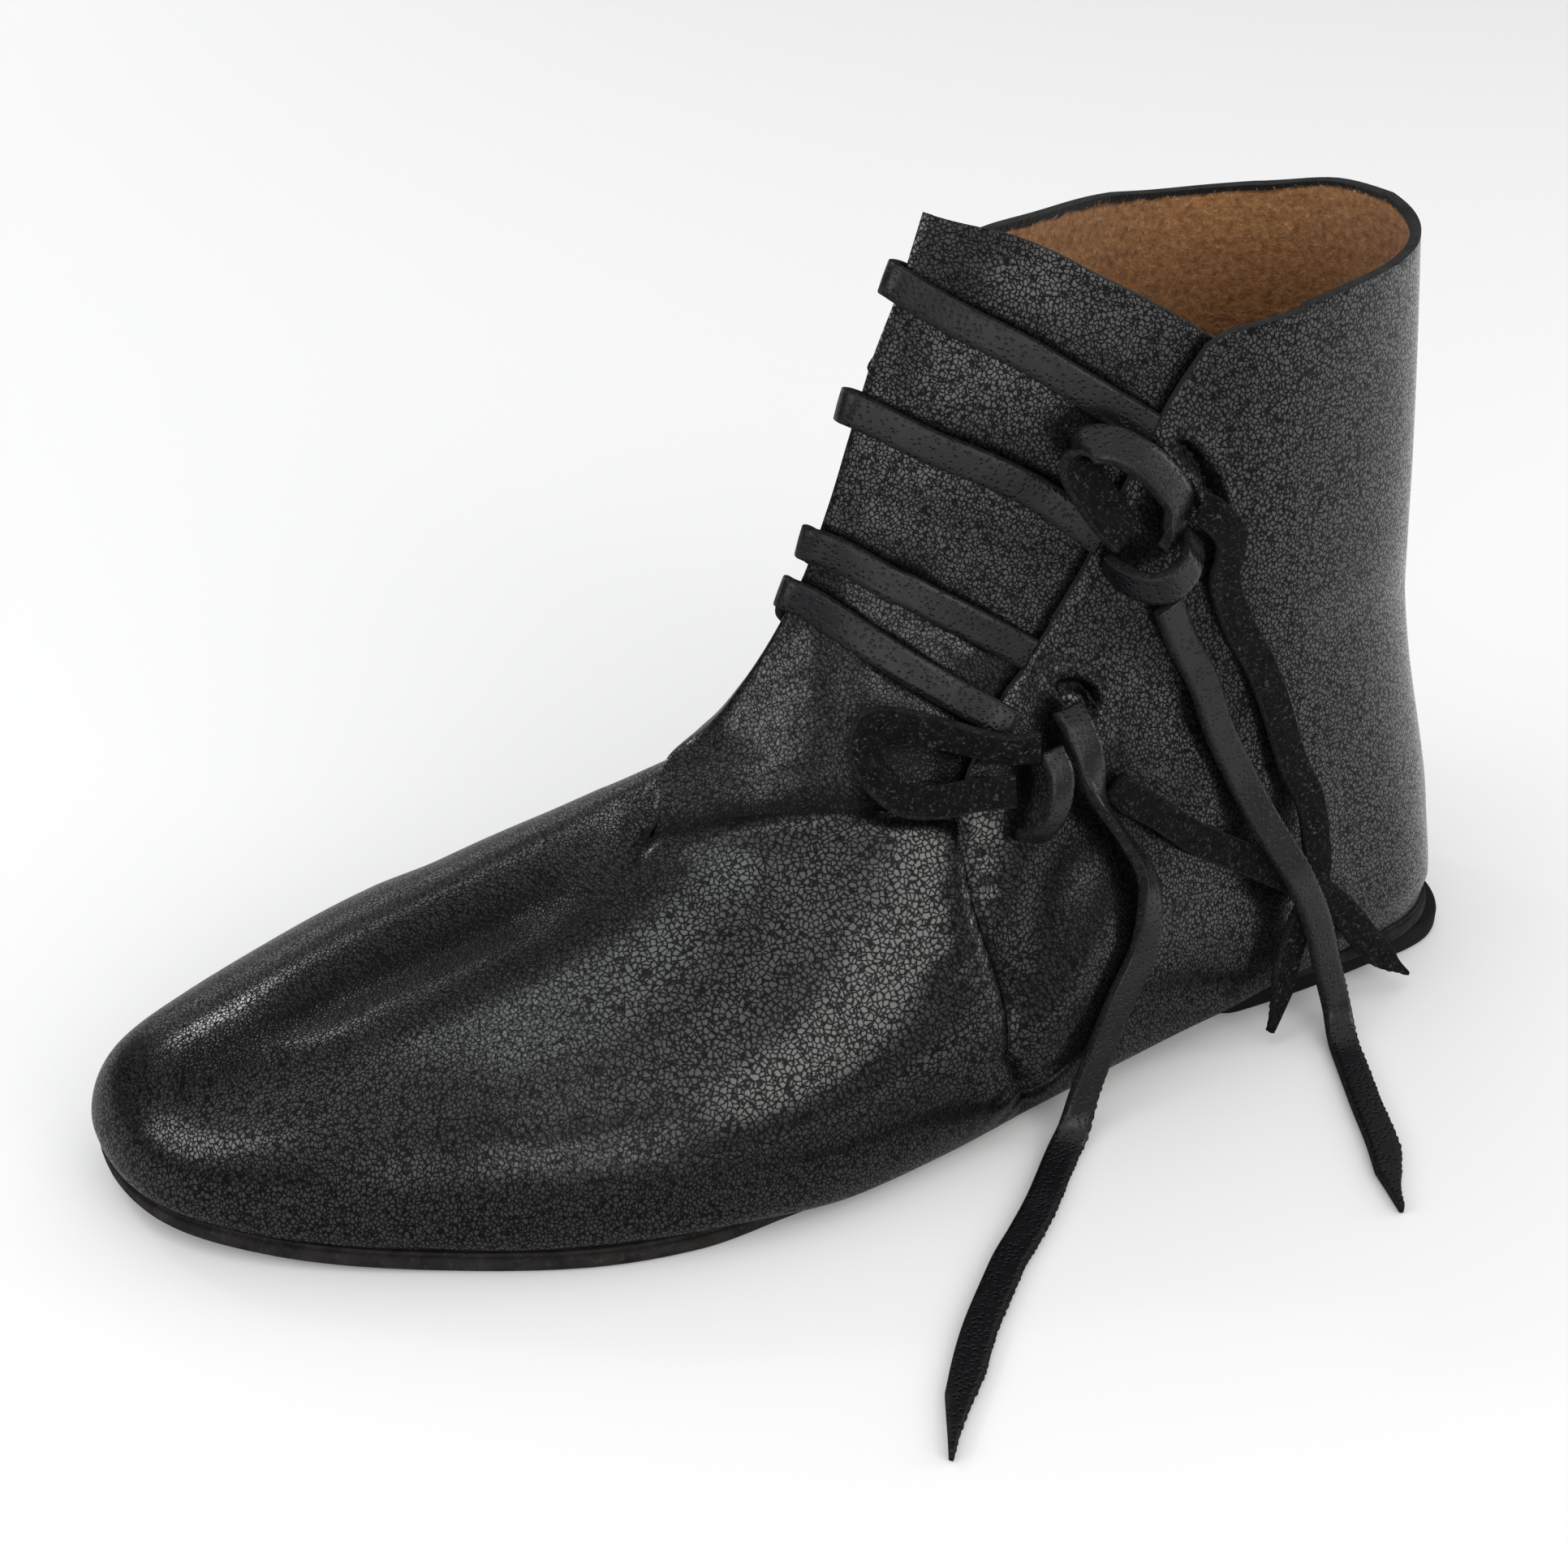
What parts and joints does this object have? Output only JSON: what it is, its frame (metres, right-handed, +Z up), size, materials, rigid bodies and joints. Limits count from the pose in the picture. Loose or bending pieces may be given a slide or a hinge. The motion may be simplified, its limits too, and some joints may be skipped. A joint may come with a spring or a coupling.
{
  "type": "medieval ankle shoe",
  "caption": "Left leather ankle shoe of a medieval pattern: rounded toe, open collar, front flap over the instep tied on the outer side with leather thongs, thin sole with a low heel lift.",
  "frame": {"origin": "middle of the shoe's length and width, on the floor, measured without the loose thong ends", "axes": "+X from heel to toe, +Y to the laced outer side, +Z up"},
  "size_m": [0.2781, 0.1618, 0.163],
  "materials": {
    "upper_leather": "black grained leather with a satin sheen, tan suede inside",
    "flap_leather": "black grained leather with a satin sheen",
    "sole_leather": "matte black",
    "heel_rubber": "matte black",
    "insole_leather": "tan suede",
    "thong_leather": "dark grey leather strips with raw edges"
  },
  "bodies": {
    "root": {"upper": "upper_leather", "front_flap": "flap_leather", "outsole": "sole_leather", "heel_lift": "heel_rubber", "insole": "insole_leather", "thong_bar_1": "thong_leather", "thong_bar_2": "thong_leather", "thong_bar_3": "thong_leather", "thong_bar_4": "thong_leather", "upper_knot": "thong_leather", "upper_loop": "thong_leather", "upper_tail_front": "thong_leather", "upper_tail_back": "thong_leather", "lower_knot": "thong_leather", "lower_loop": "thong_leather", "lower_tail_heel": "thong_leather", "lower_tail_floor": "thong_leather"}
  },
  "joints": []
}
